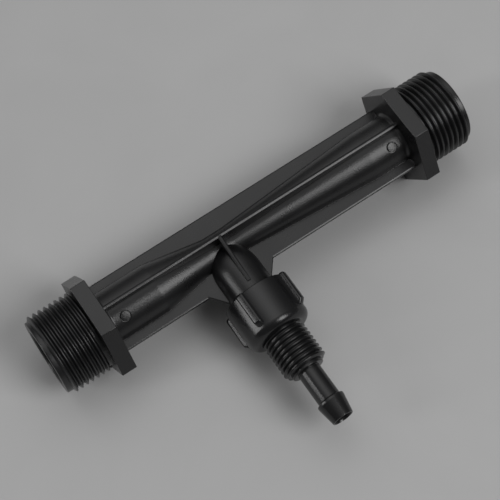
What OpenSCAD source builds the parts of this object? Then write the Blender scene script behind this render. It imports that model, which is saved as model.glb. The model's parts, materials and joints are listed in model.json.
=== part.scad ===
// Venturi fertilizer injector: a moulded body with a male pipe thread at each
// end, a narrow throat, and a screwed-on suction cap with a sprung check ball.
// X runs with the flow from the inlet's end face, -Y is the suction side, and
// the part lies on the lower flats of its two hexagons.

/* [Pipe ends] */
// Length of each male pipe thread, from the end face to the hexagon
end_len = 15.7; // [14:0.1:20]
// Crest diameter of the pipe thread
end_crest_d = 26.3; // [25.5:0.1:27]
// Pitch of the pipe thread
end_pitch = 1.83; // [1.7:0.01:1.9]
// Depth of the pipe thread
end_depth = 1.1; // [0.8:0.05:1.2]
// Diameter of the plain lead band at each end
lead_d = 24; // [23.6:0.1:24.8]
// Length of the plain lead band
lead_len = 1.9; // [1.5:0.1:2.2]
// Number of thread crests at each end
end_crests = 7; // [4:1:7]
// Bore diameter inside each threaded end
end_bore_d = 17.6; // [16:0.1:20]
// Straight length of that bore
end_bore_len = 12.5; // [8:0.1:14]

/* [Hexagons] */
// Width across the flats
hex_af = 30; // [29:0.1:34]
// Thickness of each hexagon
hex_t = 4.9; // [4:0.1:8]

/* [Venturi tube] */
// Distance between the inner faces of the hexagons
span = 105.4; // [95:0.1:120]
// Distance from the inlet hexagon's inner face to the suction axis
suction_in = 40.6; // [38:0.1:44]
// Outer diameter of the straight pipe next to each hexagon
pipe_d = 16.9; // [16.2:0.1:17.4]
// Bore diameter of the straight pipe
pipe_bore_d = 12.4; // [11:0.1:13]
// Length of the straight inlet pipe
pipe_in_len = 17.3; // [14:0.1:20]
// Length of the straight outlet pipe
pipe_out_len = 12.2; // [8:0.1:20]
// Outer diameter of the tube round the throat
waist_d = 10.2; // [9.4:0.1:11]
// Length of that narrow tube
waist_len = 7; // [5:0.1:8]
// Diameter of the throat
throat_d = 4.4; // [3.5:0.1:5.4]
// Length of the throat
throat_len = 3; // [2:0.1:4]
// Fillet between the tube and each hexagon
root_fillet = 1.2; // [0.6:0.1:2]

/* [Ribs] */
// Thickness of the two side ribs and the gussets
side_rib_t = 1.4; // [1:0.1:2]
// Reach of the two side ribs from the axis
side_reach = 11.6; // [10:0.1:12.4]
// Thickness of the upper and lower ribs and the neck's ribs
tall_rib_t = 1.2; // [1:0.1:1.8]
// Reach of the upper and lower ribs from the axis
tall_reach = 10.4; // [9.8:0.1:12]
// Diameter of the two moulding pads on the pipe
pad_d = 3.2; // [2:0.1:4]
// Height of the pads above the pipe
pad_h = 0.2; // [0.1:0.05:0.5]
// Distance from each hexagon to the centre of its pad
pad_gap = 4.8; // [3.5:0.1:6]
// Turn of the pads from the upper rib towards the suction side
pad_turn = 33; // [25:1:55]

/* [Neck] */
// Diameter of the neck
neck_d = 14.8; // [14:0.1:15.2]
// Diameter that the neck's swell starts from, at the axis
neck_top_d = 6.9; // [6:0.1:9]
// Distance from the axis to the end of the neck's swell
neck_swell = 11; // [9:0.1:12]
// Distance from the axis to the end face of the neck
neck_reach = 26.5; // [25:0.1:28]
// Distance from the axis to the tip of the neck's upper rib
neck_rib_reach = 16.2; // [14:0.1:17]
// Distance from the axis to the foot of the two gussets
gusset_reach = 16.5; // [15:0.1:17]
// Distance from the suction axis to the top of each gusset
gusset_w = 11.5; // [10.6:0.1:13]
// Pitch of the neck's thread
neck_pitch = 1.5; // [1.25:0.05:1.6]
// Depth of the neck's thread
neck_depth = 0.6; // [0.4:0.05:0.8]
// Number of crests on the neck's thread
neck_crests = 4; // [3:1:4]
// Wall of the neck round the bore that holds the spring and the ball
chamber_wall = 3; // [2.6:0.1:3.2]
// Distance from the axis to the bottom of that bore
chamber_start = 14; // [12:0.1:15]
// Diameter of the suction hole into the throat
suction_hole_d = 2.6; // [2:0.1:3.2]

/* [Suction cap] */
// Distance from the axis to the cap's rim
cap_rim = 18.5; // [17.5:0.1:19]
// Outer diameter of the cap
cap_d = 20.6; // [19.8:0.1:22]
// Length of the cap from its rim to the spigot
cap_len = 14.7; // [13.8:0.1:16]
// Radius of the cap's round shoulder
cap_round = 2.8; // [1.5:0.1:3]
// Number of grip ribs on the cap
grip_count = 4; // [2:1:8]
// Turn of the first grip rib from the upper side
grip_turn = -30; // [-90:1:90]
// Width of a grip rib
grip_w = 2.6; // [1.6:0.1:3.2]
// Height of a grip rib above the cap
grip_h = 1.65; // [1:0.05:2]
// Length of a grip rib from the rim
grip_len = 11.5; // [8:0.1:11.8]
// Rounding of a grip rib's long edges
grip_edge = 0.7; // [0.3:0.1:0.8]
// Clearance between the cap's thread and the neck's crests
thread_gap = 0.12; // [0.05:0.01:0.2]

/* [Suction spigot] */
// Crest diameter of the spigot's thread
spigot_crest_d = 14; // [13.2:0.1:14.4]
// Pitch of the spigot's thread
spigot_pitch = 1.47; // [1.3:0.01:1.5]
// Depth of the spigot's thread
spigot_depth = 0.9; // [0.6:0.05:1]
// Distance from the axis to the spigot's end face
spigot_end = 46.5; // [46:0.1:50]
// Diameter of the plain ring at the spigot's end
spigot_ring_d = 10.4; // [9.6:0.1:11.6]
// Length of the plain ring
spigot_ring_len = 1; // [0.6:0.1:1.4]

/* [Hose tail] */
// Diameter of the stem between the spigot and the barb
stem_d = 7.2; // [6.8:0.1:7.6]
// Largest diameter of the barb
barb_d = 8.8; // [8.2:0.1:9.5]
// Land at the barb's largest diameter
barb_land = 0.7; // [0.4:0.1:1]
// Diameter at the tip of the barb
tip_d = 6.8; // [6.4:0.1:7.4]
// Length of the barb
barb_len = 6.5; // [5:0.1:9]
// Distance from the axis to the tip of the hose tail
tip_reach = 63.8; // [60:0.1:70]
// Bore of the hose tail
tail_bore_d = 5; // [4.4:0.1:5.4]

/* [Check valve] */
// Clearance round the check ball in its bore
ball_play = 0.9; // [0.6:0.05:1]
// Clearance between the ball and its seat
seat_gap = 0.03; // [0.01:0.01:0.05]
// Width of the conical seat under the ball
seat_lip = 1.4; // [1:0.1:1.6]
// Length of the hole below the seat
seat_land = 0.8; // [0.5:0.1:1.5]
// Thickness of the seal ring
seal_t = 1.5; // [1:0.1:1.6]
// Width of the seal ring from its bore to its edge
seal_w = 2.2; // [1.8:0.1:2.4]
// Wire diameter of the spring
wire_d = 0.5; // [0.4:0.05:0.6]
// Mean diameter of the spring
coil_d = 4.4; // [4:0.1:4.8]
// Number of turns of the spring
coil_turns = 6; // [4:1:8]

/* [Hidden] */
$fn = 96;

moulding = "#1d1d1f";
overrun = 1;
edge_break = 0.4;
thread_flat_share = 0.16;
root_flat_share = 0.12;
wire_gap = 0.05;
seal_inset = 0.3;

// Places along the flow
hex_in_x = end_len + hex_t;
hex_out_x = hex_in_x + span;
total_len = hex_out_x + hex_t + end_len;
suction_x = hex_in_x + suction_in;
cone_in_x = hex_in_x + pipe_in_len;
cone_out_x = hex_out_x - pipe_out_len;

// Check valve and its bores, worked out inwards from the neck
chamber_d = neck_d - 2 * chamber_wall;
ball_d = chamber_d - 2 * ball_play;
seal_d = neck_d - 2 * seal_inset;
seat_top_d = ball_d + 2 * edge_break;
seat_bore_d = ball_d - 2 * seat_lip;

// Places along the suction axis, as distances from the tube's axis
cap_end = cap_rim + cap_len;
spigot_start = cap_end + edge_break;
spigot_thread_end = spigot_end - spigot_ring_len;
spigot_crests = floor((spigot_thread_end - spigot_start) / spigot_pitch);
seal_end = neck_reach + seal_t;
seat_reach = ball_d / 2 * sqrt(2);
seat_end = seal_end + (seat_top_d - seat_bore_d) / 2;
ball_place = seat_end + seat_bore_d / 2 - seat_reach - seat_gap;
barb_start = tip_reach - barb_len;
cap_bore_d = neck_d + 2 * thread_gap;
neck_thread_start = neck_reach - (neck_crests + 1) * neck_pitch;

// Arc that swells the neck from its top diameter to its full diameter
swell_step = (neck_d - neck_top_d) / 2;
swell_round = (pow(neck_swell, 2) + pow(swell_step, 2)) / (2 * swell_step);

// Spring between the chamber's bottom and the ball
coil_first = chamber_start + wire_d / 2 + wire_gap;
coil_last = ball_place - sqrt(pow((ball_d + wire_d) / 2 + wire_gap, 2) - pow(coil_d / 2, 2));
coil_steps = 20;
wire_sides = 6;

// Outline points of round thread ridges, as [radius, place] pairs
function ridges(first, count, pitch, crest_r, depth) = [
    for (k = [0 : count - 1])
        for (point = [
            [crest_r - depth, -pitch * (1 - root_flat_share) / 2],
            [crest_r, -pitch * thread_flat_share / 2],
            [crest_r, pitch * thread_flat_share / 2],
            [crest_r - depth, pitch * (1 - root_flat_share) / 2]
        ]) [point[0], first + k * pitch + point[1]]
];

// Turns a shape drawn along +Z to run with the flow
module along_flow() {
    rotate([0, 90, 0]) children();
}

// Turns a shape drawn along +Z to run down the suction side from the throat
module along_suction() {
    translate([suction_x, 0, 0]) rotate([90, 0, 0]) children();
}

// One threaded pipe end, drawn from its end face towards its hexagon
module threaded_end() {
    crest_r = end_crest_d / 2;
    root_r = crest_r - end_depth;
    first = lead_len + end_pitch / 2;
    rotate_extrude() polygon(concat(
        [[0, 0], [lead_d / 2 - edge_break, 0], [lead_d / 2, edge_break], [lead_d / 2, lead_len]],
        ridges(first, end_crests, end_pitch, crest_r, end_depth),
        [[root_r, end_len], [0, end_len]]
    ));
    translate([0, 0, end_len]) rotate(30) cylinder(h = hex_t, d = hex_af / cos(30), $fn = 6);
}

// Concave fillet between the pipe and a hexagon, from the hexagon at zero upwards
module pipe_fillet() {
    rotate_extrude() difference() {
        translate([pipe_bore_d / 2, 0]) square([pipe_d / 2 - pipe_bore_d / 2 + root_fillet, root_fillet]);
        translate([pipe_d / 2 + root_fillet, root_fillet]) circle(root_fillet);
    }
}

// Tapered tube between the hexagons
module venturi_tube() {
    rotate_extrude() polygon([
        [0, hex_in_x - hex_t / 2], [pipe_d / 2, hex_in_x - hex_t / 2], [pipe_d / 2, cone_in_x],
        [waist_d / 2, suction_x - waist_len / 2], [waist_d / 2, suction_x + waist_len / 2],
        [pipe_d / 2, cone_out_x], [pipe_d / 2, hex_out_x + hex_t / 2], [0, hex_out_x + hex_t / 2]
    ]);
}

// Plate of a rib's thickness, from an outline in its own plane
module rib_plate(thickness) {
    linear_extrude(thickness, center = true) children();
}

// Outline of a side rib, which reaches along +Y from the axis
module side_rib_outline() {
    translate([hex_in_x, 0]) square([span, side_reach]);
}

// Outline of an upper or lower rib
module tall_rib_outline() {
    translate([hex_in_x, 0]) square([span, tall_reach]);
}

// Outline of the gussets between the suction side's rib and the neck
module gusset_outline() {
    foot = neck_d / 2 + edge_break / 2;
    polygon([[-gusset_w, 0], [-gusset_w, side_reach], [-foot, gusset_reach],
             [foot, gusset_reach], [gusset_w, side_reach], [gusset_w, 0]]);
}

// Outline of the sloping rib along the neck: x runs towards the cap, y away from the axis
module neck_rib_outline() {
    polygon([[0, 0], [0, tall_reach], [neck_rib_reach, neck_d / 2 - edge_break / 2],
             [neck_rib_reach, 0]]);
}

module long_ribs() {
    for (side = [0, 1]) {
        mirror([0, side, 0]) rib_plate(side_rib_t) side_rib_outline();
        mirror([0, 0, side]) {
            rotate([90, 0, 0]) rib_plate(tall_rib_t) tall_rib_outline();
            translate([suction_x, 0, 0]) rotate([90, 0, -90]) rib_plate(tall_rib_t) neck_rib_outline();
        }
    }
    translate([suction_x, 0, 0]) mirror([0, 1, 0]) rib_plate(side_rib_t) gusset_outline();
}

// Round pads left by the mould, one near each hexagon
module moulding_pads() {
    for (x = [hex_in_x + pad_gap, hex_out_x - pad_gap])
        translate([x, 0, 0]) rotate([pad_turn, 0, 0])
            translate([0, 0, pipe_bore_d / 2]) cylinder(h = (pipe_d - pipe_bore_d) / 2 + pad_h, d = pad_d);
}

// Neck with its swell, its straight part and its thread under the cap
module neck() {
    rotate_extrude() {
        intersection() {
            square([neck_d / 2, neck_swell]);
            translate([neck_d / 2 - swell_round, neck_swell]) circle(swell_round, $fn = 240);
        }
        polygon(concat(
            [[0, neck_swell / 2], [neck_top_d / 2, neck_swell / 2], [neck_d / 2, neck_swell],
             [neck_d / 2, neck_thread_start]],
            ridges(neck_thread_start + neck_pitch, neck_crests, neck_pitch, neck_d / 2, neck_depth),
            [[neck_d / 2 - neck_depth, neck_reach], [0, neck_reach]]
        ));
    }
}

// Flow passage: two pipe bores, the inlet cone, the throat and the diffuser
module flow_passage() {
    rotate_extrude() polygon([
        [0, -overrun], [end_bore_d / 2 + edge_break + overrun, -overrun],
        [end_bore_d / 2, edge_break], [end_bore_d / 2, end_bore_len],
        [pipe_bore_d / 2, hex_in_x], [pipe_bore_d / 2, cone_in_x - hex_t / 2],
        [throat_d / 2, suction_x - throat_len / 2], [throat_d / 2, suction_x + throat_len / 2],
        [pipe_bore_d / 2, cone_out_x], [pipe_bore_d / 2, hex_out_x],
        [end_bore_d / 2, total_len - end_bore_len], [end_bore_d / 2, total_len - edge_break],
        [end_bore_d / 2 + edge_break + overrun, total_len + overrun], [0, total_len + overrun]
    ]);
}

module injector_body() {
    color(moulding) difference() {
        union() {
            along_flow() {
                threaded_end();
                translate([0, 0, total_len]) mirror([0, 0, 1]) threaded_end();
                venturi_tube();
                translate([0, 0, hex_in_x]) pipe_fillet();
                translate([0, 0, hex_out_x]) mirror([0, 0, 1]) pipe_fillet();
            }
            long_ribs();
            moulding_pads();
            along_suction() neck();
        }
        along_flow() flow_passage();
        along_suction() {
            cylinder(h = chamber_start + overrun, d = suction_hole_d);
            translate([0, 0, chamber_start])
                cylinder(h = neck_reach - chamber_start + overrun, d = chamber_d);
        }
    }
}

// Outer form of the cap, the spigot and the hose tail, drawn along the suction axis
module cap_outside() {
    cap_r = cap_d / 2;
    spigot_root_r = spigot_crest_d / 2 - spigot_depth;
    rotate_extrude() {
        polygon([[0, cap_rim], [cap_r - edge_break, cap_rim], [cap_r, cap_rim + edge_break],
                 [cap_r, cap_end - cap_round], [cap_r - cap_round, cap_end], [0, cap_end]]);
        translate([cap_r - cap_round, cap_end - cap_round]) intersection() {
            circle(cap_round);
            square(cap_round);
        }
        polygon(concat(
            [[0, cap_end - edge_break], [spigot_root_r, cap_end - edge_break]],
            ridges(spigot_thread_end - (spigot_crests - 0.5) * spigot_pitch, spigot_crests, spigot_pitch,
                   spigot_crest_d / 2, spigot_depth),
            [[spigot_root_r, spigot_thread_end],
             [spigot_ring_d / 2, spigot_thread_end],
             [spigot_ring_d / 2, spigot_end - edge_break / 2],
             [spigot_ring_d / 2 - edge_break / 2, spigot_end],
             [stem_d / 2, spigot_end],
             [stem_d / 2, barb_start - edge_break],
             [barb_d / 2, barb_start],
             [barb_d / 2, barb_start + barb_land],
             [tip_d / 2, tip_reach],
             [0, tip_reach]]
        ));
    }
}

// Side view of a grip rib, with its round lower end: x runs outwards, y along the cap
module grip_side(body_r, top_r) {
    translate([body_r, cap_rim + edge_break]) square([top_r - body_r, grip_len - edge_break - grip_h]);
    translate([body_r, cap_rim + edge_break]) square([top_r - grip_h - body_r, grip_len - edge_break]);
    intersection() {
        translate([top_r - grip_h, cap_rim + grip_len - grip_h]) circle(grip_h);
        translate([body_r, cap_rim]) square([top_r - body_r, grip_len]);
    }
}

// Cross-section of a grip rib, with two round edges: x runs outwards
module grip_section(body_r, top_r) {
    translate([body_r, -grip_w / 2]) square([top_r - grip_edge - body_r, grip_w]);
    translate([body_r, grip_edge - grip_w / 2]) square([top_r - body_r, grip_w - 2 * grip_edge]);
    for (side = [-1, 1]) translate([top_r - grip_edge, side * (grip_w / 2 - grip_edge)]) circle(grip_edge);
}

// One grip rib, raised to the cap's surface
module grip_rib() {
    body_r = cap_d / 2 - edge_break;
    top_r = cap_d / 2 + grip_h;
    intersection() {
        translate([0, grip_w / 2, 0]) rotate([90, 0, 0]) linear_extrude(grip_w) grip_side(body_r, top_r);
        translate([0, 0, cap_rim]) linear_extrude(grip_len) grip_section(body_r, top_r);
    }
}

// Inside of the cap: thread, seal pocket, ball seat and hose tail bore
module cap_inside() {
    rotate_extrude() {
        polygon(concat(
            [[0, cap_rim - overrun], [cap_bore_d / 2 + neck_depth, cap_rim - overrun],
             [cap_bore_d / 2 + neck_depth, cap_rim + edge_break],
             [cap_bore_d / 2, cap_rim + edge_break + neck_depth]],
            [for (k = [1 : neck_crests])
                for (point = [[0, -neck_pitch * (1 - root_flat_share) / 2],
                              [neck_depth, -neck_pitch * thread_flat_share / 2],
                              [neck_depth, neck_pitch * thread_flat_share / 2],
                              [0, neck_pitch * (1 - root_flat_share) / 2]])
                    [cap_bore_d / 2 + point[0], neck_thread_start + k * neck_pitch + point[1]]],
            [[cap_bore_d / 2, seal_end], [seat_top_d / 2, seal_end], [seat_bore_d / 2, seat_end],
             [seat_bore_d / 2, seat_end + seat_land],
             [tail_bore_d / 2, seat_end + seat_land + edge_break / 2],
             [tail_bore_d / 2, tip_reach + overrun], [0, tip_reach + overrun]]
        ));
    }
}

module suction_cap() {
    color(moulding) along_suction() difference() {
        union() {
            cap_outside();
            for (k = [0 : grip_count - 1])
                rotate(90 - grip_turn + k * 360 / grip_count) grip_rib();
        }
        cap_inside();
    }
}

// Flat rubber ring between the neck's end face and the cap's floor
module seal_ring() {
    color("#2a2a2a") along_suction() translate([0, 0, neck_reach]) difference() {
        cylinder(h = seal_t, d = seal_d);
        translate([0, 0, -overrun]) cylinder(h = seal_t + 2 * overrun, d = seal_d - 2 * seal_w);
    }
}

module check_ball() {
    color("silver") along_suction() translate([0, 0, ball_place]) sphere(d = ball_d);
}

// Points of the spring's wire: one ring of wire sides at each step of the helix
function coil_angle(i) = 360 * i / coil_steps;
function coil_place(i) = coil_first + (coil_last - coil_first) * i / (coil_turns * coil_steps);
function wire_ring(i) = [
    for (side = [0 : wire_sides - 1])
        let (around = 360 * side / wire_sides, reach = coil_d / 2 + wire_d / 2 * cos(around))
            [reach * cos(coil_angle(i)), reach * sin(coil_angle(i)), coil_place(i) + wire_d / 2 * sin(around)]
];

module check_spring() {
    rings = coil_turns * coil_steps;
    color("silver") along_suction() polyhedron(
        points = [for (i = [0 : rings]) each wire_ring(i)],
        faces = concat(
            [[for (side = [0 : wire_sides - 1]) side]],
            [for (i = [0 : rings - 1], side = [0 : wire_sides - 1])
                let (next = (side + 1) % wire_sides, here = i * wire_sides, there = here + wire_sides)
                    [here + side, there + side, there + next, here + next]],
            [[for (side = [wire_sides - 1 : -1 : 0]) rings * wire_sides + side]]
        )
    );
}

injector_body();
suction_cap();
seal_ring();
check_ball();
check_spring();
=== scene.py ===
"""Dresses the venturi injector: one black moulding with helical pipe threads, a screwed-on
suction cap, the check valve inside it, and a plain studio round it."""
import cmath
import json
import math

import bmesh
import bpy
from mathutils import Matrix, Vector

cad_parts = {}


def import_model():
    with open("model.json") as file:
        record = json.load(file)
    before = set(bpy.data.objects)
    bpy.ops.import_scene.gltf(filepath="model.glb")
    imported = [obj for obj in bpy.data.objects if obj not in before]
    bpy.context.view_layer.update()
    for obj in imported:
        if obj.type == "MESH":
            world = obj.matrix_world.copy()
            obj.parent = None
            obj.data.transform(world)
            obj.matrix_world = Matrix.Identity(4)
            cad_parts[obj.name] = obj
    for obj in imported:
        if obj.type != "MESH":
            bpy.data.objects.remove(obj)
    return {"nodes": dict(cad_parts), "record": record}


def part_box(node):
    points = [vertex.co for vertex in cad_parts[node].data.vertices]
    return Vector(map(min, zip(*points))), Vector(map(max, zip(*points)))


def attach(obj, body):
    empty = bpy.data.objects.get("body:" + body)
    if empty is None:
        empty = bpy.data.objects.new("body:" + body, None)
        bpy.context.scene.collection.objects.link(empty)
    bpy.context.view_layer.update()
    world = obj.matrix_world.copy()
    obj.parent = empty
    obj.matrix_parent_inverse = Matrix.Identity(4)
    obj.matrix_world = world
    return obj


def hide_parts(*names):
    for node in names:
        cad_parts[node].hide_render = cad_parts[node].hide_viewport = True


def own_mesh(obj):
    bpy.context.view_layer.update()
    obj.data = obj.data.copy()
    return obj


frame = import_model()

MM = 0.001
TURN = 2 * math.pi
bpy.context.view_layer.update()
mounts = {mount["name"]: mount for mount in frame["record"]["mounts"]}

# Places taken from the frame
TOTAL_LENGTH = mounts["outlet_bore"]["pos_m"][0]
SUCTION_X = mounts["suction_bore"]["pos_m"][0]
TAIL_TIP = -mounts["suction_bore"]["pos_m"][1]
FLOOR_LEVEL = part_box("injector_body")[0].z

# Pipe ends
END_LENGTH = 15.7 * MM
END_BORE = mounts["inlet_bore"]["dims"]["r_mm"] * MM
END_BORE_LENGTH = 12.5 * MM
END_CREST = 13.15 * MM
END_ROOT = 12.05 * MM
END_PITCH = 1.83 * MM
END_TURNS = 7.7
INLET_THREAD = 1.15 * MM
OUTLET_THREAD = TOTAL_LENGTH - INLET_THREAD - END_TURNS * END_PITCH
INLET_THREAD_TURN = math.radians(-108)
OUTLET_THREAD_TURN = math.radians(95)
LEAD = 12 * MM
LEAD_LENGTH = 1.9 * MM

# Hexagons
HEX_WIDE = 30 * MM
HEX_THICK = 4.9 * MM
HEX_CORNER = 0.35 * MM
HEX_IN = END_LENGTH + HEX_THICK
HEX_OUT = TOTAL_LENGTH - HEX_IN

# Tube between the hexagons
PIPE = 8.45 * MM
PIPE_BORE = 6.2 * MM
WAIST = 5.1 * MM
WAIST_LENGTH = 7 * MM
THROAT = 2.2 * MM
THROAT_LENGTH = 3 * MM
CONE_IN = HEX_IN + 17.3 * MM
CONE_OUT = HEX_OUT - 12.2 * MM
CONE_BLEND = 3 * MM
WAIST_BLEND = 20 * MM
HEX_FILLET = 1.2 * MM

# Ribs
SIDE_RIB = 1.4 * MM
TALL_RIB = 1.2 * MM
# Bevels on the ribs' long edges: across the rib, then along its reach
SIDE_BEVEL = (0.2 * MM, 0.38 * MM)
TALL_BEVEL = (0.56 * MM, 0.3 * MM)
NECK_BEVEL = (0.34 * MM, 0.18 * MM)
BEVEL_EDGE = 0.1 * MM
RIB_ROOT = 0.12 * MM
# The most that the root fillet and the bevels take of a low rib's height
ROOT_SHARE = 0.5
BEVEL_SHARE = 0.25
# How far out in its round base a rib's sides start, and the part of its half width at its middle
# where its top is left open to the other half
RIB_SUNK = 0.75
MIDDLE_PART = 20
SIDE_REACH = 11.6 * MM
TALL_REACH = 10.4 * MM
GUSSET_REACH = 16.5 * MM
GUSSET_TOP = 11.5 * MM
GUSSET_FOOT = 7.6 * MM
NECK_RIB_REACH = 15.8 * MM
NECK_RIB_FOOT = 7.9 * MM

# Round pads that the mould leaves on the pipe, each in a shallow groove
PAD = 1.5 * MM
PAD_HEIGHT = 0.18 * MM
PAD_GROOVE = 1.8 * MM
PAD_GAP = 4.8 * MM
PAD_TURN = math.radians(33)
# The part of its radius at which a pad's or groove's flat end closes
PAD_MIDDLE = 8

# Neck
NECK = 7.4 * MM
NECK_TOP = 3.45 * MM
NECK_SWELL = 10.4 * MM
NECK_END = 26.5 * MM
NECK_ROOT = 6.8 * MM
NECK_PITCH = 1.5 * MM
NECK_TURNS = 4.2
NECK_THREAD = 19.6 * MM
CHAMBER = 4.4 * MM
CHAMBER_START = 14 * MM
SUCTION_HOLE = 1.3 * MM

# Suction cap, its spigot and its hose tail
CAP_RIM = 18.5 * MM
CAP = 10.3 * MM
CAP_END = 33.2 * MM
CAP_ROUND = 2.8 * MM
GRIP_COUNT = 4
GRIP_TURN = math.radians(-30)
GRIP_WIDTH = 2.6 * MM
GRIP_HEIGHT = 1.62 * MM
GRIP_LENGTH = 11.5 * MM
GRIP_EDGE = 0.8 * MM
GRIP_SUNK = 3 * GRIP_EDGE
GRIP_ROUND = 1.05 * GRIP_EDGE
GRIP_SLOPE = 1.3 * MM
SPIGOT_CREST = 7 * MM
SPIGOT_ROOT = 6.1 * MM
SPIGOT_PITCH = 1.464 * MM
SPIGOT_TURNS = 8.6
SPIGOT_THREAD = 32.95 * MM
SPIGOT_END = 46.5 * MM
SPIGOT_RING = 5.2 * MM
SPIGOT_RING_LENGTH = 1 * MM
STEM = 3.6 * MM
BARB = 4.4 * MM
BARB_START = 57.3 * MM
BARB_LAND = 0.7 * MM
BARB_STEP = 0.4 * MM
TIP = 3.4 * MM
TIP_MOUTH = 3 * MM
TAIL_BORE = mounts["suction_bore"]["dims"]["r_mm"] * MM
TAIL_BORE_START = TAIL_TIP - mounts["suction_bore"]["dims"]["length_mm"] * MM
THREAD_GAP = 0.12 * MM
# Turns by which the cap's groove outruns the neck's thread
GROOVE_RUN_ON = 0.4

# Check valve
SEAL_THICK = 1.5 * MM
SEAL_WIDTH = 2.2 * MM
SEAL_INSET = 0.3 * MM
SEAT_TOP = 3.9 * MM
SEAT_BORE = 2.1 * MM
WIRE = 0.25 * MM
COIL = 2.2 * MM
COIL_TURNS = 6
COIL_DEAD = 0.8
COIL_STEPS = 48
WIRE_SIDES = 12

# How round things are drawn
AROUND = 160
ARC_STEPS = 4
ARC_CHORD = 0.3 * MM
THREAD_STEPS = 80
FILLET_STEPS = 8
TUBE_STEPS = 60
SWELL_STEPS = 16
NECK_RIB_STEPS = 24
SHARP_ANGLE = math.radians(29)
WELD = 0.0005 * MM
OVERRUN = 1 * MM
EDGE = 0.4 * MM
SMALL_EDGE = 0.2 * MM
SINK = 0.02 * MM
THREAD_SINK = 0.25 * MM

# Section of a thread ridge: half its foot and half its crest as shares of the pitch, and the
# crest's rounding as a share of that half
RIDGE_FOOT = 0.44
RIDGE_CREST = 0.11
RIDGE_SOFT = 0.6
# Turns over which a ridge swells in or runs out, and the least share of its height there
RUN_OUT = 0.3
RUN_OUT_LEAST = 0.04

# Turns a shape drawn along +X to run down the suction side from the tube's axis
ALONG_SUCTION = Matrix(((0, 1, 0, SUCTION_X), (-1, 0, 0, 0), (0, 0, 1, 0), (0, 0, 0, 1)))


# Outlines and solids

def soft_path(corners, closed=False, inset=0.0):
    """Points of a path through (x, y, radius) corners, each rounded to its radius.
    A closed path runs anticlockwise, and inset moves it inwards."""
    places = [complex(x, y) for x, y, _ in corners]
    points = []
    for k, here in enumerate(places):
        radius = corners[k][2]
        if not closed and (radius == 0 or k in (0, len(places) - 1)):
            points.append(here)
            continue
        before = here - places[k - 1]
        before /= abs(before)
        after = places[(k + 1) % len(places)] - here
        turn = cmath.phase(after / before)
        side = math.copysign(1, turn)
        inwards = 1j * before * side
        centre = here - before * radius * math.tan(abs(turn) / 2) + inwards * radius
        steps = max(ARC_STEPS, round(abs(turn) * radius / ARC_CHORD))
        for step in range(steps + 1):
            swing = cmath.rect(1, turn * step / steps)
            points.append(centre - inwards * (radius - inset * side) * swing)
    return points


def solid(name, rings):
    """A closed mesh through rings of equally many points, with a flat cap on each end."""
    count = len(rings[0])
    last = (len(rings) - 1) * count
    faces = [list(range(count)), list(range(last, last + count))]
    for start in range(0, last, count):
        for k in range(count):
            beside = (k + 1) % count
            faces.append((start + k, start + beside, start + count + beside, start + count + k))
    mesh = bpy.data.meshes.new(name)
    mesh.from_pydata([point for ring in rings for point in ring], [], faces)
    work = bmesh.new()
    work.from_mesh(mesh)
    bmesh.ops.recalc_face_normals(work, faces=work.faces)
    work.to_mesh(mesh)
    work.free()
    piece = bpy.data.objects.new(name, mesh)
    bpy.context.scene.collection.objects.link(piece)
    return piece


def ring_about_x(along, radius, around=AROUND):
    """Points of one circle about X."""
    return [(along, radius * math.cos(TURN * k / around), radius * math.sin(TURN * k / around))
            for k in range(around)]


def lathe(name, corners):
    """A solid turned about X from a profile of (along, out, radius) corners."""
    return solid(name, [ring_about_x(p.real, p.imag) for p in soft_path(corners)])


def plate(name, corners, thick, edge):
    """A plate with rounded rims: its outline lies in X and Y, its thickness is centred on Z."""
    rims = []
    for step in range(ARC_STEPS + 1):
        angle = step / ARC_STEPS * math.pi / 2
        rims.append((edge * (1 - math.sin(angle)), thick / 2 - edge * (1 - math.cos(angle))))
    levels = [(inset, -level) for inset, level in rims] + rims[::-1]
    rings = []
    for inset, level in levels:
        rings.append([(p.real, p.imag, level) for p in soft_path(corners, True, inset)])
    return solid(name, rings)


def ridge(name, first, pitch, turns, root, crest, gap=0.0):
    """A right-hand thread ridge about X, which swells in at its start and runs out at its end."""
    base = RIDGE_FOOT * pitch + gap
    land = RIDGE_CREST * pitch + gap
    soft = RIDGE_SOFT * land
    top = crest + gap
    section = [(-base - soft, root - THREAD_SINK), (-base, root), (-land, top - soft / 2),
               (-land + soft, top), (land - soft, top), (land, top - soft / 2),
               (base, root), (base + soft, root - THREAD_SINK)]
    rings = []
    steps = int(turns * THREAD_STEPS)
    for step in range(steps + 1):
        turned = step / THREAD_STEPS
        ends = min(turned, turns - turned) / RUN_OUT
        swell = max(math.sin(min(ends, 1) * math.pi / 2), RUN_OUT_LEAST)
        ring = []
        for along, out in section:
            height = root - THREAD_SINK + (out - root + THREAD_SINK) * swell
            ring.append((first + pitch * turned + along, height * math.cos(TURN * turned),
                         height * math.sin(TURN * turned)))
        rings.append(ring)
    return solid(name, rings)


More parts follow.
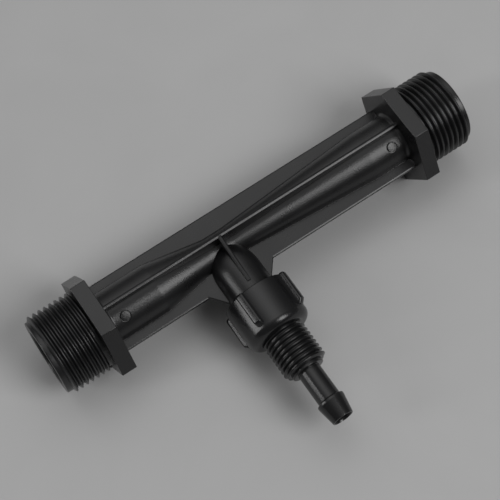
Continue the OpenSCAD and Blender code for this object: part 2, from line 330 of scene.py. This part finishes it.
def rib(name, thick, bevel, places, base_at, tip_at):
    """A rib along X on a round base, reaching towards +Y, with a root fillet and bevelled top edges."""
    half = thick / 2
    rings = []
    for x in places:
        base = base_at(x) - SINK
        tip = tip_at(x)
        root = min(RIB_ROOT, ROOT_SHARE * max(tip - base, SINK))
        small = min(1, BEVEL_SHARE * max(tip - base, SINK) / max(bevel))
        across, along = (size * small for size in bevel)
        centre = complex(half + root, math.sqrt((base + root) ** 2 - (half + root) ** 2))
        foot = cmath.phase(-centre)
        side = []
        for step in range(ARC_STEPS + 1):
            angle = foot + (-math.pi - foot) * step / ARC_STEPS
            side.append(centre + cmath.rect(root, angle))
        side.insert(0, complex(side[0].real, RIB_SUNK * base))
        side += soft_path([(half, tip - 2 * along, 0), (half, tip - along, BEVEL_EDGE * small),
                           (half - across, tip, BEVEL_EDGE * small), (half / MIDDLE_PART, tip, 0)])
        ring = [(x, p.imag, p.real) for p in side] + [(x, p.imag, -p.real) for p in side[::-1]]
        rings.append(ring)
    return solid(name, rings)


def spread(*stretches):
    """Places along a line: each stretch is (start, end, steps)."""
    places = set()
    for start, end, steps in stretches:
        places.update(start + (end - start) * k / steps for k in range(steps + 1))
    return sorted(places)


def between(path, x):
    """Height at x on a path of points that runs along +X."""
    for a, b in zip(path, path[1:]):
        if a.real <= x <= b.real and b.real > a.real:
            return a.imag + (b.imag - a.imag) * (x - a.real) / (b.real - a.real)
    return path[0].imag if x < path[0].real else path[-1].imag


def shape(piece, others, operation):
    """Joins the others to the piece with UNION, or cuts them out of it with DIFFERENCE."""
    for other in others:
        step = piece.modifiers.new("shape", "BOOLEAN")
        step.operation = operation
        step.solver = "MANIFOLD"
        step.object = other
    shaped = piece.evaluated_get(bpy.context.evaluated_depsgraph_get())
    mesh = bpy.data.meshes.new_from_object(shaped)
    piece.modifiers.clear()
    piece.data = mesh
    for other in others:
        bpy.data.objects.remove(other)


def moved(piece, matrix):
    """Moves a piece's own points, so that its object stays at the origin."""
    piece.data.transform(matrix)
    return piece


def smooth(piece):
    """Welds stray points, keeps real corners sharp and gives flat faces flat normals."""
    work = bmesh.new()
    work.from_mesh(piece.data)
    bmesh.ops.remove_doubles(work, verts=work.verts, dist=WELD)
    bmesh.ops.dissolve_degenerate(work, dist=WELD, edges=work.edges)
    for face in work.faces:
        face.smooth = True
    for line in work.edges:
        line.smooth = len(line.link_faces) == 2 and line.calc_face_angle() < SHARP_ANGLE
    work.to_mesh(piece.data)
    work.free()
    normals = piece.modifiers.new("flat faces stay flat", "WEIGHTED_NORMAL")
    normals.keep_sharp = True
    return piece


# The body moulding

def corner_rise(x):
    """How far the fillet at the nearer hexagon lifts a surface at x."""
    away = min(max(min(x - HEX_IN, HEX_OUT - x), 0), HEX_FILLET)
    return HEX_FILLET - math.sqrt(HEX_FILLET ** 2 - (HEX_FILLET - away) ** 2)


tube_line = soft_path([
    (HEX_IN, PIPE, 0), (CONE_IN, PIPE, CONE_BLEND),
    (SUCTION_X - WAIST_LENGTH / 2, WAIST, WAIST_BLEND), (SUCTION_X + WAIST_LENGTH / 2, WAIST, WAIST_BLEND),
    (CONE_OUT, PIPE, CONE_BLEND), (HEX_OUT, PIPE, 0),
])
even_places = spread(
    (HEX_IN, HEX_IN + HEX_FILLET, FILLET_STEPS), (HEX_IN + HEX_FILLET, HEX_OUT - HEX_FILLET, TUBE_STEPS),
    (HEX_OUT - HEX_FILLET, HEX_OUT, FILLET_STEPS),
)
along_tube = sorted(set(even_places) | {p.real for p in tube_line})


def tube_at(x):
    """Outer radius of the tube at x, with the fillet at a hexagon."""
    return between(tube_line, x) + corner_rise(x)


def run_of_pipe():
    """Everything turned about the flow axis: both ends' roots, the pipe and its two cones."""
    core = 0.5 * WAIST
    inner = [complex(x, tube_at(x)) for x in along_tube]
    middle = [(p.real, p.imag, 0) for p in inner]
    return lathe("injector_body_moulding", [
        (0, core, 0), (0, LEAD, EDGE), (LEAD_LENGTH, LEAD, 0), (LEAD_LENGTH + SINK, END_ROOT, 0),
        (END_LENGTH + EDGE, END_ROOT, 0), (HEX_IN - EDGE, tube_at(HEX_IN), 0), *middle,
        (HEX_OUT + EDGE, tube_at(HEX_OUT), 0), (TOTAL_LENGTH - END_LENGTH - EDGE, END_ROOT, 0),
        (TOTAL_LENGTH - LEAD_LENGTH - SINK, END_ROOT, 0), (TOTAL_LENGTH - LEAD_LENGTH, LEAD, 0),
        (TOTAL_LENGTH, LEAD, EDGE), (TOTAL_LENGTH, core, 0),
    ])


def hexagon(x):
    """A hexagon whose plate is centred at x, resting on one of its flats."""
    across = HEX_WIDE / 2 / math.cos(TURN / 12)
    corners = []
    for k in range(6):
        point = cmath.rect(across, TURN * k / 6)
        corners.append((point.real, point.imag, HEX_CORNER))
    turned = Matrix.Rotation(TURN / 4, 4, "Z") @ Matrix.Rotation(TURN / 4, 4, "X")
    return moved(plate("hexagon", corners, HEX_THICK, SMALL_EDGE), Matrix.Translation((x, 0, 0)) @ turned)


def gusset_tip(x):
    """Reach of the suction side's rib, which widens into the neck."""
    share = (GUSSET_TOP - abs(x - SUCTION_X)) / (GUSSET_TOP - GUSSET_FOOT)
    return SIDE_REACH + (GUSSET_REACH - SIDE_REACH) * min(max(share, 0), 1)


def long_ribs():
    """Four ribs along the tube: two tall ones up and down, two side ones."""
    inside = (HEX_IN - EDGE, HEX_IN, 1), (HEX_OUT, HEX_OUT + EDGE, 1)
    places = sorted(set(along_tube) | set(spread(*inside)))
    corners = {SUCTION_X + side * reach for side in (-1, 1) for reach in (GUSSET_TOP, GUSSET_FOOT)}
    gusset_places = sorted(set(places) | corners)
    side, tall = (SIDE_RIB, SIDE_BEVEL), (TALL_RIB, TALL_BEVEL)
    kinds = [(side, places, lambda x: SIDE_REACH), (tall, places, lambda x: TALL_REACH),
             (side, gusset_places, gusset_tip), (tall, places, lambda x: TALL_REACH)]
    made = []
    for k, (section, stations, tip) in enumerate(kinds):
        upright = rib("long_rib", *section, stations, tube_at, tip)
        made.append(moved(upright, Matrix.Rotation(TURN * k / 4, 4, "X")))
    return made


def neck_at(along):
    """Radius of the neck, which swells on an arc to its full size."""
    step = NECK - NECK_TOP
    arc = (NECK_SWELL ** 2 + step ** 2) / (2 * step)
    away = NECK_SWELL - min(along, NECK_SWELL)
    return NECK - arc + math.sqrt(arc ** 2 - away ** 2)


def neck():
    """The neck, its helical thread and the two sloping ribs along it."""
    swell = [(x, neck_at(x), 0) for x in spread((0, NECK_SWELL, SWELL_STEPS))]
    start = NECK_THREAD - NECK_PITCH / 2
    stem = lathe("neck", [*swell, (start, NECK, 0), (start + EDGE, NECK_ROOT, 0),
                          (NECK_END, NECK_ROOT, SMALL_EDGE), (NECK_END, SUCTION_HOLE, 0)])
    made = [stem, ridge("neck_thread", NECK_THREAD, NECK_PITCH, NECK_TURNS, NECK_ROOT, NECK)]
    slope = (TALL_REACH - NECK_RIB_FOOT) / NECK_RIB_REACH
    for side in (1, -1):
        places = spread((0, NECK_RIB_REACH, NECK_RIB_STEPS))
        sloping = rib("neck_rib", TALL_RIB, NECK_BEVEL, places, neck_at,
                      lambda along: TALL_REACH - slope * along)
        made.append(moved(sloping, Matrix.Rotation(side * TURN / 4, 4, "X")))
    return [moved(part, ALONG_SUCTION) for part in made]


def pad(x):
    """A low round pad left by the mould near a hexagon, and the groove round it."""
    top = PIPE + PAD_HEIGHT
    low = PIPE - 2 * PAD_HEIGHT
    disc = lathe("pad", [
        (PIPE_BORE + EDGE, PAD, 0), (top, PAD, SMALL_EDGE / 2), (top, PAD / PAD_MIDDLE, 0),
    ])
    groove = lathe("pad_groove", [
        (low, PAD_GROOVE / PAD_MIDDLE, 0), (low, PAD_GROOVE, SMALL_EDGE / 2),
        (top + OVERRUN, PAD_GROOVE, 0),
    ])
    upright = Matrix.Rotation(PAD_TURN, 4, "X") @ Matrix.Rotation(-TURN / 4, 4, "Y")
    return [moved(part, Matrix.Translation((x, 0, 0)) @ upright) for part in (disc, groove)]


def flow_passage():
    """Both end bores, the inlet cone, the throat and the diffuser."""
    way_in = [(-OVERRUN, END_BORE + OVERRUN + EDGE, 0), (EDGE, END_BORE, 0), (END_BORE_LENGTH, END_BORE, 0),
              (HEX_IN, PIPE_BORE, 0), (CONE_IN - HEX_THICK / 2, PIPE_BORE, 0),
              (SUCTION_X - THROAT_LENGTH / 2, THROAT, 0)]
    way_out = [(SUCTION_X + THROAT_LENGTH / 2, THROAT, 0), (CONE_OUT, PIPE_BORE, 0),
               (HEX_OUT, PIPE_BORE, 0), (TOTAL_LENGTH - END_BORE_LENGTH, END_BORE, 0),
               (TOTAL_LENGTH - EDGE, END_BORE, 0), (TOTAL_LENGTH + OVERRUN, END_BORE + OVERRUN + EDGE, 0)]
    return lathe("flow_passage", way_in + way_out)


def suction_passage():
    """The hole into the throat and the chamber for the spring and the ball."""
    return moved(lathe("suction_passage", [
        (0, SUCTION_HOLE, 0), (CHAMBER_START, SUCTION_HOLE, 0), (CHAMBER_START, CHAMBER, 0),
        (NECK_END + OVERRUN, CHAMBER, 0),
    ]), ALONG_SUCTION)


def injector_body():
    """The whole body moulding, with its threads, hexagons, ribs, neck, pads and passages."""
    body = run_of_pipe()
    threads = []
    for first, turn in ((INLET_THREAD, INLET_THREAD_TURN), (OUTLET_THREAD, OUTLET_THREAD_TURN)):
        thread = ridge("end_thread", first, END_PITCH, END_TURNS, END_ROOT, END_CREST)
        threads.append(moved(thread, Matrix.Rotation(turn, 4, "X")))
    hexagons = [hexagon(x) for x in (END_LENGTH + HEX_THICK / 2, TOTAL_LENGTH - END_LENGTH - HEX_THICK / 2)]
    pads, grooves = zip(*[pad(x) for x in (HEX_IN + PAD_GAP, HEX_OUT - PAD_GAP)])
    shape(body, threads + hexagons + long_ribs() + neck(), "UNION")
    shape(body, [flow_passage(), suction_passage(), *grooves], "DIFFERENCE")
    shape(body, pads, "UNION")
    return smooth(body)


# The suction cap

def grip_rib(k):
    """One grip rib on the cap, with a round lower end."""
    foot = CAP - GRIP_SUNK
    top = CAP + GRIP_HEIGHT
    start, end = CAP_RIM + SINK, CAP_RIM + GRIP_LENGTH
    corners = [(start, foot), (end, foot), (end, CAP + SMALL_EDGE), (end - GRIP_SLOPE, top), (start, top)]
    blade = plate("grip_rib", [(*corner, GRIP_ROUND) for corner in corners], GRIP_WIDTH, GRIP_EDGE)
    around = TURN / 4 - GRIP_TURN - k * TURN / GRIP_COUNT
    return moved(blade, Matrix.Rotation(around, 4, "X"))


def cap_outside():
    """The cap's cylinder with its round shoulder, the spigot and the hose tail."""
    lead = SPIGOT_END - SPIGOT_RING_LENGTH
    return lathe("suction_cap_moulding", [
        (CAP_RIM, TAIL_BORE, 0), (CAP_RIM, CAP, EDGE), (CAP_END, CAP, CAP_ROUND),
        (CAP_END, SPIGOT_ROOT, SMALL_EDGE), (lead, SPIGOT_ROOT, SMALL_EDGE), (lead, SPIGOT_RING, 0),
        (SPIGOT_END, SPIGOT_RING, SMALL_EDGE), (SPIGOT_END, STEM, SMALL_EDGE),
        (BARB_START - BARB_STEP, STEM, SMALL_EDGE), (BARB_START, BARB, SMALL_EDGE),
        (BARB_START + BARB_LAND, BARB, SMALL_EDGE), (TAIL_TIP, TIP, SMALL_EDGE),
        (TAIL_TIP, TAIL_BORE / 2, 0),
    ])


def spigot_thread():
    """The spigot's thread, cut off square where the plain lead ring starts."""
    lead = SPIGOT_END - SPIGOT_RING_LENGTH
    thread = ridge("spigot_thread", SPIGOT_THREAD, SPIGOT_PITCH, SPIGOT_TURNS, SPIGOT_ROOT, SPIGOT_CREST)
    beyond = lathe("beyond_thread", [
        (lead, STEM, 0), (lead, CAP, 0), (TAIL_TIP, CAP, 0), (TAIL_TIP, STEM, 0),
    ])
    shape(thread, [beyond], "DIFFERENCE")
    return thread


def cap_inside():
    """The cap's threaded bore, its ball seat and the tail's bore."""
    seal_end = NECK_END + SEAL_THICK
    seat_end = seal_end + SEAT_TOP - SEAT_BORE
    bore = lathe("cap_bore", [
        (CAP_RIM - OVERRUN, NECK + THREAD_GAP, 0), (NECK_THREAD - NECK_PITCH / 2, NECK + THREAD_GAP, 0),
        (NECK_THREAD, NECK_ROOT + THREAD_GAP, 0), (NECK_END - SMALL_EDGE, NECK_ROOT + THREAD_GAP, 0),
        (NECK_END - SMALL_EDGE, NECK + THREAD_GAP, 0), (seal_end, NECK + THREAD_GAP, 0),
        (seal_end, SEAT_TOP, 0), (seat_end, SEAT_BORE, 0),
        (TAIL_BORE_START - SMALL_EDGE, SEAT_BORE, 0), (TAIL_BORE_START, TAIL_BORE, 0),
        (TAIL_TIP - OVERRUN, TAIL_BORE, 0), (TAIL_TIP, TIP_MOUTH, 0), (TAIL_TIP + OVERRUN, TIP_MOUTH, 0),
    ])
    turns = NECK_TURNS + GROOVE_RUN_ON
    groove = ridge("cap_groove", NECK_THREAD, NECK_PITCH, turns, NECK_ROOT, NECK, THREAD_GAP)
    return [bore, groove]


def suction_cap():
    """The whole cap moulding, with its grip ribs, spigot thread and bores."""
    cap = cap_outside()
    shape(cap, [grip_rib(k) for k in range(GRIP_COUNT)] + [spigot_thread()], "UNION")
    shape(cap, cap_inside(), "DIFFERENCE")
    return smooth(moved(cap, ALONG_SUCTION))


# The check valve

def seal_ring():
    """A flat rubber ring with softly rounded edges."""
    outer = NECK - SEAL_INSET
    inner = outer - SEAL_WIDTH
    far = NECK_END + SEAL_THICK
    section = soft_path([(NECK_END, inner, SMALL_EDGE), (far, inner, SMALL_EDGE),
                         (far, outer, SMALL_EDGE), (NECK_END, outer, SMALL_EDGE)], True)
    rings = []
    for k in range(AROUND):
        angle = TURN * k / AROUND
        rings.append([(p.real, p.imag * math.cos(angle), p.imag * math.sin(angle)) for p in section])
    count = len(section)
    faces = []
    for k in range(AROUND):
        for side in range(count):
            here, there = k * count, (k + 1) % AROUND * count
            beside = (side + 1) % count
            faces.append((here + side, here + beside, there + beside, there + side))
    mesh = bpy.data.meshes.new("seal_ring_rubber")
    mesh.from_pydata([point for ring in rings for point in ring], [], faces)
    piece = bpy.data.objects.new("seal_ring_rubber", mesh)
    bpy.context.scene.collection.objects.link(piece)
    return smooth(moved(piece, ALONG_SUCTION))


def check_spring():
    """A coil spring with its end turns closed up, between the chamber and the ball."""
    low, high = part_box("check_spring")
    start, end = -high.y + WIRE, -low.y - WIRE
    pitch = (end - start - 4 * WIRE * COIL_DEAD) / (COIL_TURNS - 2 * COIL_DEAD)
    rings = []
    for step in range(COIL_TURNS * COIL_STEPS + 1):
        turned = step / COIL_STEPS
        dead = min(turned, COIL_DEAD) + max(turned - COIL_TURNS + COIL_DEAD, 0)
        along = start + dead * 2 * WIRE + (turned - dead) * pitch
        ring = []
        for side in range(WIRE_SIDES):
            spot = cmath.rect(WIRE, TURN * side / WIRE_SIDES)
            out = COIL + spot.real
            ring.append((along + spot.imag, out * math.cos(TURN * turned), out * math.sin(TURN * turned)))
        rings.append(ring)
    return smooth(moved(solid("check_spring_coil", rings), ALONG_SUCTION))


# Finishes

def place(tree, kind, sockets=None, **settings):
    """A node with its settings, its input values and its links."""
    made = tree.nodes.new(kind)
    for name, value in settings.items():
        setattr(made, name, value)
    for name, value in (sockets or {}).items():
        if isinstance(value, bpy.types.NodeSocket):
            tree.links.new(value, made.inputs[name])
        else:
            made.inputs[name].default_value = value
    return made


def effect(name, inputs, outputs):
    """An empty node group with named float or vector inputs and float outputs."""
    tree = bpy.data.node_groups.new(name, "ShaderNodeTree")
    for label, kind, value in inputs:
        socket = tree.interface.new_socket(label, in_out="INPUT", socket_type=kind)
        socket.default_value = value
    for label in outputs:
        tree.interface.new_socket(label, in_out="OUTPUT", socket_type="NodeSocketFloat")
    return tree, tree.nodes.new("NodeGroupInput").outputs, tree.nodes.new("NodeGroupOutput").inputs


def mould_grain():
    """Fine grain that the mould's surface leaves, as a height from 0 to 1."""
    tree, given, out = effect("mould_grain", [
        ("Place", "NodeSocketVector", (0, 0, 0)), ("Grains per mm", "NodeSocketFloat", 4.0),
    ], ["Height"])
    fine = place(tree, "ShaderNodeTexNoise", {"Vector": given["Place"], "Scale": given["Grains per mm"],
                                              "Detail": 3.0, "Roughness": 0.6})
    pits = place(tree, "ShaderNodeTexVoronoi", {"Vector": given["Place"], "Scale": given["Grains per mm"],
                                                "Randomness": 1.0}, feature="SMOOTH_F1")
    mixed = place(tree, "ShaderNodeMath", {0: fine.outputs["Fac"], 1: pits.outputs["Distance"]},
                  operation="ADD")
    tree.links.new(mixed.outputs[0], out["Height"])
    return tree


def flow_drift():
    """Slow changes of sheen where the plastic flowed and cooled, from 0 to 1."""
    tree, given, out = effect("flow_drift", [
        ("Place", "NodeSocketVector", (0, 0, 0)), ("Patches per mm", "NodeSocketFloat", 0.12),
    ], ["Amount"])
    patches = place(tree, "ShaderNodeTexNoise", {"Vector": given["Place"], "Scale": given["Patches per mm"],
                                                 "Detail": 4.0, "Roughness": 0.55, "Distortion": 0.6})
    level = place(tree, "ShaderNodeMapRange", {"Value": patches.outputs["Fac"],
                                               "From Min": 0.3, "From Max": 0.7})
    tree.links.new(level.outputs["Result"], out["Amount"])
    return tree


def handling_marks():
    """Thin faint scuffs in two directions, from 0 to 1."""
    tree, given, out = effect("handling_marks", [
        ("Place", "NodeSocketVector", (0, 0, 0)), ("Rarity", "NodeSocketFloat", 0.68),
    ], ["Amount"])
    lines = []
    for turn, stretch in ((0.5, (0.22, 5.0, 5.0)), (2.1, (4.0, 0.3, 4.0))):
        turned = place(tree, "ShaderNodeMapping", {"Vector": given["Place"], "Rotation": (0.3, 0.2, turn),
                                                   "Scale": stretch})
        streaks = place(tree, "ShaderNodeTexNoise", {"Vector": turned.outputs["Vector"], "Scale": 1.0,
                                                     "Detail": 2.0})
        line = place(tree, "ShaderNodeMapRange", {"Value": streaks.outputs["Fac"],
                                                  "From Min": given["Rarity"], "From Max": 0.8})
        lines.append(line.outputs["Result"])
    both = place(tree, "ShaderNodeMath", {0: lines[0], 1: lines[1]}, operation="MAXIMUM")
    tree.links.new(both.outputs[0], out["Amount"])
    return tree


effects = {tree.name: tree for tree in (mould_grain(), flow_drift(), handling_marks())}


def use(tree, name, **sockets):
    """Places one of the shared effects in a material."""
    made = tree.nodes.new("ShaderNodeGroup")
    made.node_tree = effects[name]
    for label, value in sockets.items():
        label = label.replace("_", " ")
        if isinstance(value, bpy.types.NodeSocket):
            tree.links.new(value, made.inputs[label])
        else:
            made.inputs[label].default_value = value
    return made.outputs[0]


def surface(name):
    """A new material: its tree, its shader and a place on the piece in millimetres."""
    material = bpy.data.materials.new(name)
    material.use_nodes = True
    tree = material.node_tree
    spot = tree.nodes.new("ShaderNodeTexCoord").outputs["Object"]
    scaled = place(tree, "ShaderNodeVectorMath", {0: spot, "Scale": 1 / MM}, operation="SCALE")
    return material, tree, tree.nodes["Principled BSDF"], scaled.outputs["Vector"]


def blend_colour(tree, amount, first, second):
    """A colour that goes from the first to the second as the amount goes from 0 to 1."""
    mix = place(tree, "ShaderNodeMix", {"Factor": amount}, data_type="RGBA")
    for label, colour in ((6, first), (7, second)):
        if isinstance(colour, bpy.types.NodeSocket):
            tree.links.new(colour, mix.inputs[label])
        else:
            mix.inputs[label].default_value = (*colour, 1)
    return mix.outputs[2]


def blend_value(tree, amount, first, second):
    """A value that goes from the first to the second as the amount goes from 0 to 1."""
    made = place(tree, "ShaderNodeMapRange", {"Value": amount, "To Min": first, "To Max": second})
    return made.outputs["Result"]


BLACK = (0.0078, 0.0078, 0.0082)
SCUFF = (0.03, 0.03, 0.031)
RUBBER = (0.02, 0.02, 0.02)
RUBBER_PALE = (0.035, 0.034, 0.033)
RUBBER_GRAIN = 0.006 * MM
SPRING_STEEL = (0.55, 0.55, 0.57)
BALL_STEEL = (0.62, 0.62, 0.64)
# Sheen at its glossiest and dullest, grains per mm and grain depth
BODY_SKIN = ((0.26, 0.32), 2.6, 0.02 * MM)
CAP_SKIN = ((0.2, 0.26), 3.2, 0.012 * MM)
# How much lighter the plastic drifts, how strongly its scuffs show and how much they dull it
BLACK_DRIFT = 1.35
SCUFF_SHOW = 0.35
SCUFF_DULL = 0.15
# How much darker and how much duller the steel drifts, and how much its marks dull it
STEEL_DRIFT = 0.85
STEEL_HAZE = 1.4
STEEL_MARKS = 0.2


def black_moulding(name, colour, pale, sheen, grain_size, grain_depth):
    """Satin black plastic: moulded grain, drifting sheen and faint scuffs."""
    material, tree, shader, spot = surface(name)
    drift = use(tree, "flow_drift", Place=spot)
    marks = use(tree, "handling_marks", Place=spot)
    grain = use(tree, "mould_grain", Place=spot, Grains_per_mm=grain_size)
    body = blend_colour(tree, drift, colour, [c * BLACK_DRIFT for c in colour])
    faint = place(tree, "ShaderNodeMath", {0: marks, 1: SCUFF_SHOW}, operation="MULTIPLY").outputs[0]
    tree.links.new(blend_colour(tree, faint, body, pale), shader.inputs["Base Color"])
    rough = blend_value(tree, drift, sheen[0], sheen[1])
    scuffed = place(tree, "ShaderNodeMath", {0: faint, 1: SCUFF_DULL, 2: rough}, operation="MULTIPLY_ADD")
    tree.links.new(scuffed.outputs[0], shader.inputs["Roughness"])
    bump = place(tree, "ShaderNodeBump", {"Height": grain, "Strength": 1.0, "Distance": grain_depth})
    tree.links.new(bump.outputs["Normal"], shader.inputs["Normal"])
    return material


def seal_rubber():
    """Matt black rubber with a fine grain."""
    material, tree, shader, spot = surface("seal_rubber")
    drift = use(tree, "flow_drift", Place=spot, Patches_per_mm=0.4)
    grain = use(tree, "mould_grain", Place=spot, Grains_per_mm=7.0)
    tree.links.new(blend_colour(tree, drift, RUBBER, RUBBER_PALE), shader.inputs["Base Color"])
    tree.links.new(blend_value(tree, drift, 0.65, 0.8), shader.inputs["Roughness"])
    bump = place(tree, "ShaderNodeBump", {"Height": grain, "Distance": RUBBER_GRAIN})
    tree.links.new(bump.outputs["Normal"], shader.inputs["Normal"])
    return material


def valve_steel(name, tint, rough):
    """Bright stainless steel with faint drawing and handling marks."""
    material, tree, shader, spot = surface(name)
    shader.inputs["Metallic"].default_value = 1.0
    drift = use(tree, "flow_drift", Place=spot, Patches_per_mm=0.5)
    marks = use(tree, "handling_marks", Place=spot, Rarity=0.6)
    dull = [c * STEEL_DRIFT for c in tint]
    tree.links.new(blend_colour(tree, drift, tint, dull), shader.inputs["Base Color"])
    base = blend_value(tree, drift, rough, rough * STEEL_HAZE)
    worn = place(tree, "ShaderNodeMath", {0: marks, 1: STEEL_MARKS, 2: base}, operation="MULTIPLY_ADD")
    tree.links.new(worn.outputs[0], shader.inputs["Roughness"])
    return material


def dress(piece, material, body, slot, *nodes):
    """Gives a piece its finish and the body it rides on, and hides the nodes that it stands for. Its slot
    is not used.
    """
    piece.data.materials.clear()
    piece.data.materials.append(material)
    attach(piece, body)
    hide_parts(*nodes)


body_finish = black_moulding("body_moulding", BLACK, SCUFF, *BODY_SKIN)
cap_finish = black_moulding("cap_moulding", BLACK, SCUFF, *CAP_SKIN)

dress(injector_body(), body_finish, "body", "body_moulding", "injector_body")
dress(suction_cap(), cap_finish, "cap", "cap_moulding", "suction_cap")
dress(seal_ring(), seal_rubber(), "seal", "seal_rubber", "seal_ring")
coil = check_spring()
dress(coil, valve_steel("spring_steel", SPRING_STEEL, 0.28), "body", "spring_steel", "check_spring")
ball = frame["nodes"]["check_ball"]
ball.data.materials.clear()
ball.data.materials.append(valve_steel("ball_steel", BALL_STEEL, 0.12))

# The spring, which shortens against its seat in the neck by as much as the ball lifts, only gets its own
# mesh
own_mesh(coil)


# Studio

# Each lamp's lean to the suction side and swing along the flow in degrees, then its width, height
# and power in watts
LAMP_DISTANCE = 1500 * MM
LAMPS = {
    "key": (37, 20, 680, 840, 9.2),
    "strip": (-38, -63, 260, 940, 4.2),
}
# Light from all round, and the ceiling's glow over it: its strength, how fast it falls off and
# its place in degrees
SKY = 0.08
CEILING = 1.25
CEILING_SPREAD = 7.5
CEILING_LEAN = -25
CEILING_SWING = 5
BACKGROUND = 0.6
FLOOR_HALF = 900 * MM
FLOOR_GREY = (0.49, 0.49, 0.49)
FLOOR_PALE = (0.515, 0.515, 0.515)


def direction(lean, swing):
    """Unit vector that leans to the suction side and swings along the flow, in degrees from straight up."""
    lean, swing = math.radians(lean), math.radians(swing)
    return Vector((math.sin(swing), -math.sin(lean) * math.cos(swing), math.cos(lean) * math.cos(swing)))


def floor():
    """A plain pale floor under the part."""
    sides = ((-1, -1), (1, -1), (1, 1), (-1, 1))
    corners = [(x * FLOOR_HALF, y * FLOOR_HALF, FLOOR_LEVEL) for x, y in sides]
    mesh = bpy.data.meshes.new("floor")
    mesh.from_pydata(corners, [], [(0, 1, 2, 3)])
    sheet = bpy.data.objects.new("floor", mesh)
    bpy.context.scene.collection.objects.link(sheet)
    material, tree, shader, spot = surface("pale_floor")
    drift = use(tree, "flow_drift", Place=spot, Patches_per_mm=0.02)
    tree.links.new(blend_colour(tree, drift, FLOOR_GREY, FLOOR_PALE), shader.inputs["Base Color"])
    shader.inputs["Roughness"].default_value = 0.8
    mesh.materials.append(material)


def lamp(name, lean, swing, width, height, power):
    """A soft box that faces the part, leaning to the suction side and swung along the flow."""
    light = bpy.data.lights.new(name, "AREA")
    light.shape = "RECTANGLE"
    light.size, light.size_y = width, height
    light.energy = power
    towards = direction(lean, swing)
    holder = bpy.data.objects.new(name, light)
    holder.location = Vector((TOTAL_LENGTH / 2, 0, 0)) + towards * LAMP_DISTANCE
    holder.rotation_euler = (-towards).to_track_quat("-Z", "Y").to_euler()
    bpy.context.scene.collection.objects.link(holder)


def world():
    """A dim studio with a broad soft ceiling over the part; the camera sees a pale background."""
    made = bpy.data.worlds.new("studio")
    made.use_nodes = True
    tree = made.node_tree
    seen = tree.nodes.new("ShaderNodeTexCoord").outputs["Generated"]
    near = place(tree, "ShaderNodeVectorMath", {0: seen, 1: direction(CEILING_LEAN, CEILING_SWING)},
                 operation="DOT_PRODUCT")
    away = place(tree, "ShaderNodeMath", {0: near.outputs["Value"], 1: 1.0}, operation="SUBTRACT")
    fall = place(tree, "ShaderNodeMath", {0: away.outputs[0], 1: CEILING_SPREAD}, operation="MULTIPLY")
    glow = place(tree, "ShaderNodeMath", {0: fall.outputs[0]}, operation="EXPONENT")
    light = place(tree, "ShaderNodeMath", {0: glow.outputs[0], 1: CEILING, 2: SKY},
                  operation="MULTIPLY_ADD")
    ray = tree.nodes.new("ShaderNodeLightPath").outputs["Is Camera Ray"]
    level = place(tree, "ShaderNodeMapRange", {"Value": ray, "To Min": light.outputs[0],
                                               "To Max": BACKGROUND})
    background = tree.nodes["Background"]
    background.inputs["Color"].default_value = (1, 1, 1, 1)
    tree.links.new(level.outputs["Result"], background.inputs["Strength"])
    bpy.context.scene.world = made


# The camera's place, the point it looks at, its lens over a 36 mm wide sensor and its roll
EYE = Vector((-18.802, -143.186, 405.272)) * MM
AIM = Vector((71.569, -0.475, -15)) * MM
LENS = 104.615
SENSOR = 36
ROLL = math.radians(-1.9867)
NEAR_CLIP = 10 * MM
FAR_CLIP = 5000 * MM


def camera():
    """The photo's own viewpoint: high over the inlet end, turned slightly about its line of sight."""
    data = bpy.data.cameras.new("camera")
    data.lens = LENS
    data.sensor_width = SENSOR
    data.clip_start = NEAR_CLIP
    data.clip_end = FAR_CLIP
    holder = bpy.data.objects.new("camera", data)
    facing = (AIM - EYE).to_track_quat("-Z", "Y").to_matrix().to_4x4()
    holder.matrix_world = Matrix.Translation(EYE) @ facing @ Matrix.Rotation(ROLL, 4, "Z")
    bpy.context.scene.collection.objects.link(holder)
    bpy.context.scene.camera = holder


floor()
for name, (lean, swing, width, height, power) in LAMPS.items():
    lamp(name, lean, swing, width * MM, height * MM, power)
world()
camera()
bpy.context.scene.view_settings.view_transform = "Standard"
